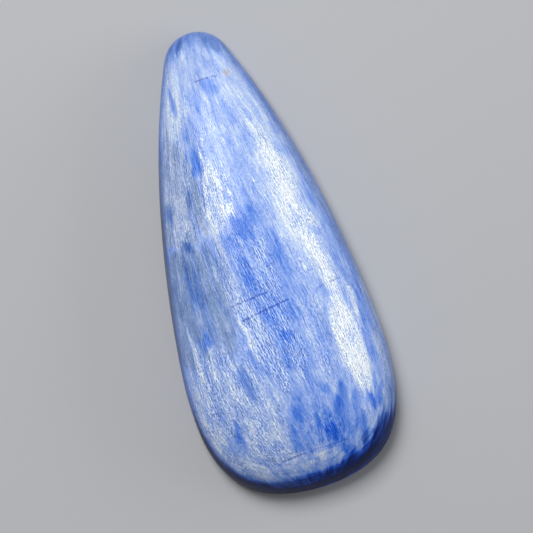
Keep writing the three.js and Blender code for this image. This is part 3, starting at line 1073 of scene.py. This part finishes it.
def kyanite_material(colours):
    """Polished bladed kyanite: the tone picks a blue, deepened by painted shade in the dark rim and down the
    wall, steel dulls it, silky flakes of painted sheen and painted glints whiten it, fibres light and shade
    it with painted light and shade, and a stain and cracks lie over it. The same fibres give the fine bump
    and the gloss, and the back is duller."""
    material = bpy.data.materials.new("polished_kyanite")
    material.use_nodes = True
    nodes = Nodes(material.node_tree)
    marks = {name: nodes.attribute(name) for name in MARKS}
    layers, slopes = silk_layers(nodes)
    field = 0.0
    for name, amount in FIELD:
        field = nodes.weighed(layers[name], amount, field)

    tone, calm = stone_tone(nodes, layers, marks)
    glint, light = fibre_light(nodes, layers, slopes, marks, calm)
    crack = crack_lines(nodes, layers, marks)
    flakes = sheen_flakes(nodes, layers, marks, field)
    colour = bladed_colour(nodes, layers, marks, tone, colours)
    # Painted sheen and painted glints whiten the colour, then the fibres' painted light and shade is
    # multiplied in
    colour = nodes.washed(nodes.product(flakes, SHEEN_WHITE), colour, colours.pearl)
    colour = nodes.washed(glint, colour, colours.pearl)
    colour = nodes.mix(1.0, colour, light, "MULTIPLY")
    colour = nodes.washed(nodes.product(marks["stain"], STAIN_WEIGHT), colour, colours.rust)
    colour = nodes.washed(nodes.product(crack, CRACK_WEIGHT), colour, colours.deep)

    height = nodes.product(nodes.math("ADD", layers["fibres"], layers["crinkle"]), BUMP_SHARE)
    height = nodes.math("SUBTRACT", height, crack)
    bump = nodes.add(
        "ShaderNodeBump", inputs={"Strength": BUMP_STRENGTH, "Distance": BUMP_DEPTH, "Height": height}
    )
    gloss = nodes.ramp(field, *GLOSS_FIELD, *GLOSS_ROUGHNESS)
    coatless = nodes.math("ADD", marks["dark"], marks["on_back"])

    shader = material.node_tree.nodes["Principled BSDF"]
    linked = {
        "Base Color": colour,
        "Roughness": nodes.weighed(marks["on_back"], BACK_ROUGHNESS, gloss),
        "Normal": bump.outputs["Normal"],
        "Coat Weight": nodes.ramp(coatless, 0.0, COAT_END, COAT, 0.0),
    }
    for name, socket in linked.items():
        material.node_tree.links.new(socket, shader.inputs[name])
    shader.inputs["IOR"].default_value = STONE_IOR
    shader.inputs["Specular IOR Level"].default_value = STONE_SPECULAR
    shader.inputs["Coat Roughness"].default_value = COAT_ROUGHNESS
    return material


class CABOCHON_OT_cut_stone(bpy.types.Operator):
    """Cut the stone: its surface, markings and polish"""

    bl_idname = "cabochon.cut_stone"
    bl_label = "Cut the stone"

    def execute(self, context):
        scene = context.scene
        stone = bpy.data.objects.new("cabochon_stone", stone_mesh(scene.cabochon_shape))
        scene.collection.objects.link(stone)
        stone.data.materials[0] = kyanite_material(scene.cabochon_colours)
        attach(stone, "root")
        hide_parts("cabochon")
        return {"FINISHED"}


def plain_floor(colour):
    """A wide flat floor just under the stone, in one pale matt colour."""
    corners = np.array([(-1, -1), (1, -1), (1, 1), (-1, 1)]) * FLOOR_REACH
    mesh = bpy.data.meshes.new("floor")
    mesh.from_pydata([(x, y, FLOOR_DROP) for x, y in corners], [], [(0, 1, 2, 3)])
    material = bpy.data.materials.new("floor_paper")
    material.use_nodes = True
    shader = material.node_tree.nodes["Principled BSDF"]
    shader.inputs["Base Color"].default_value = (*colour, 1.0)
    shader.inputs["Roughness"].default_value = FLOOR_ROUGHNESS
    mesh.materials.append(material)
    floor = bpy.data.objects.new("floor", mesh)
    bpy.context.scene.collection.objects.link(floor)
    return floor


def soft_light(name, place, size, power):
    """A rectangular light at a place, turned to face the stone."""
    light = bpy.data.lights.new(name, "AREA")
    light.shape = "RECTANGLE"
    light.size, light.size_y = size
    light.energy = power
    lamp = bpy.data.objects.new(name, light)
    lamp.location = place
    lamp.rotation_euler = (-Vector(place)).to_track_quat("-Z", "Y").to_euler()
    bpy.context.scene.collection.objects.link(lamp)


def picture_axes(studio):
    """Right, up and back of the picture: back leans off the vertical, and the stone's tip leans left."""
    back = Vector((math.tan(studio.from_right), -math.tan(studio.from_round_end), 1.0)).normalized()
    level_up = Vector((0, 1, 0))
    level_up = (level_up - level_up.dot(back) * back).normalized()
    level_right = level_up.cross(back)
    up = math.cos(studio.lean) * level_up + math.sin(studio.lean) * level_right
    right = math.cos(studio.lean) * level_right - math.sin(studio.lean) * level_up
    return right, up, back


def place_camera(studio):
    """A long lens straight above the stone, a little to the right and towards its round end."""
    right, up, back = picture_axes(studio)
    aim = Vector((0, 0, AIM_HEIGHT)) + studio.aim[0] * right + studio.aim[1] * up
    lens = bpy.data.cameras.new("camera")
    lens.sensor_width = SENSOR_WIDTH
    lens.lens = lens.sensor_width * studio.distance / studio.frame_width
    lens.clip_start = NEAREST_SEEN
    camera = bpy.data.objects.new("camera", lens)
    turn = Matrix((right, up, back)).transposed().to_4x4()
    camera.matrix_world = Matrix.Translation(aim + studio.distance * back) @ turn
    bpy.context.scene.collection.objects.link(camera)
    bpy.context.scene.camera = camera


class CABOCHON_OT_set_stage(bpy.types.Operator):
    """Set the stage: floor, soft light and camera"""

    bl_idname = "cabochon.set_stage"
    bl_label = "Set the stage"

    def execute(self, context):
        scene = context.scene
        studio = scene.cabochon_studio
        plain_floor(studio.floor)
        soft_light("side", SIDE_LIGHT_PLACE, SIDE_LIGHT_SIZE, studio.key_power)
        soft_light("top", TOP_LIGHT_PLACE, TOP_LIGHT_SIZE, studio.top_power)
        world = bpy.data.worlds.new("studio")
        world.use_nodes = True
        background = world.node_tree.nodes["Background"]
        background.inputs["Color"].default_value = (*WHITE, 1.0)
        background.inputs["Strength"].default_value = studio.fill
        scene.world = world
        scene.view_settings.view_transform = "Standard"
        place_camera(studio)
        return {"FINISHED"}


class CABOCHON_PT_sidebar(bpy.types.Panel):
    """Lists the steps and their sizes and colours"""

    bl_label = "Cabochon"
    bl_idname = "CABOCHON_PT_sidebar"
    bl_space_type = "VIEW_3D"
    bl_region_type = "UI"
    bl_category = "Cabochon"

    def draw(self, context):
        scene = context.scene
        steps = (
            (CABOCHON_OT_cut_stone, (scene.cabochon_shape, scene.cabochon_colours)),
            (CABOCHON_OT_set_stage, (scene.cabochon_studio,)),
        )
        for operator, groups in steps:
            box = self.layout.box()
            box.operator(operator.bl_idname)
            for group in groups:
                for name in group.__annotations__:
                    box.prop(group, name)


CLASSES = (
    StoneShape,
    StoneColours,
    Studio,
    CABOCHON_OT_cut_stone,
    CABOCHON_OT_set_stage,
    CABOCHON_PT_sidebar,
)


def register():
    for cls in CLASSES:
        bpy.utils.register_class(cls)
    bpy.types.Scene.cabochon_shape = bpy.props.PointerProperty(type=StoneShape)
    bpy.types.Scene.cabochon_colours = bpy.props.PointerProperty(type=StoneColours)
    bpy.types.Scene.cabochon_studio = bpy.props.PointerProperty(type=Studio)


def unregister():
    del bpy.types.Scene.cabochon_studio
    del bpy.types.Scene.cabochon_colours
    del bpy.types.Scene.cabochon_shape
    for cls in reversed(CLASSES):
        bpy.utils.unregister_class(cls)


def main():
    register()
    bpy.ops.cabochon.set_stage()
    bpy.ops.cabochon.cut_stone()


if __name__ == "__main__":
    main()
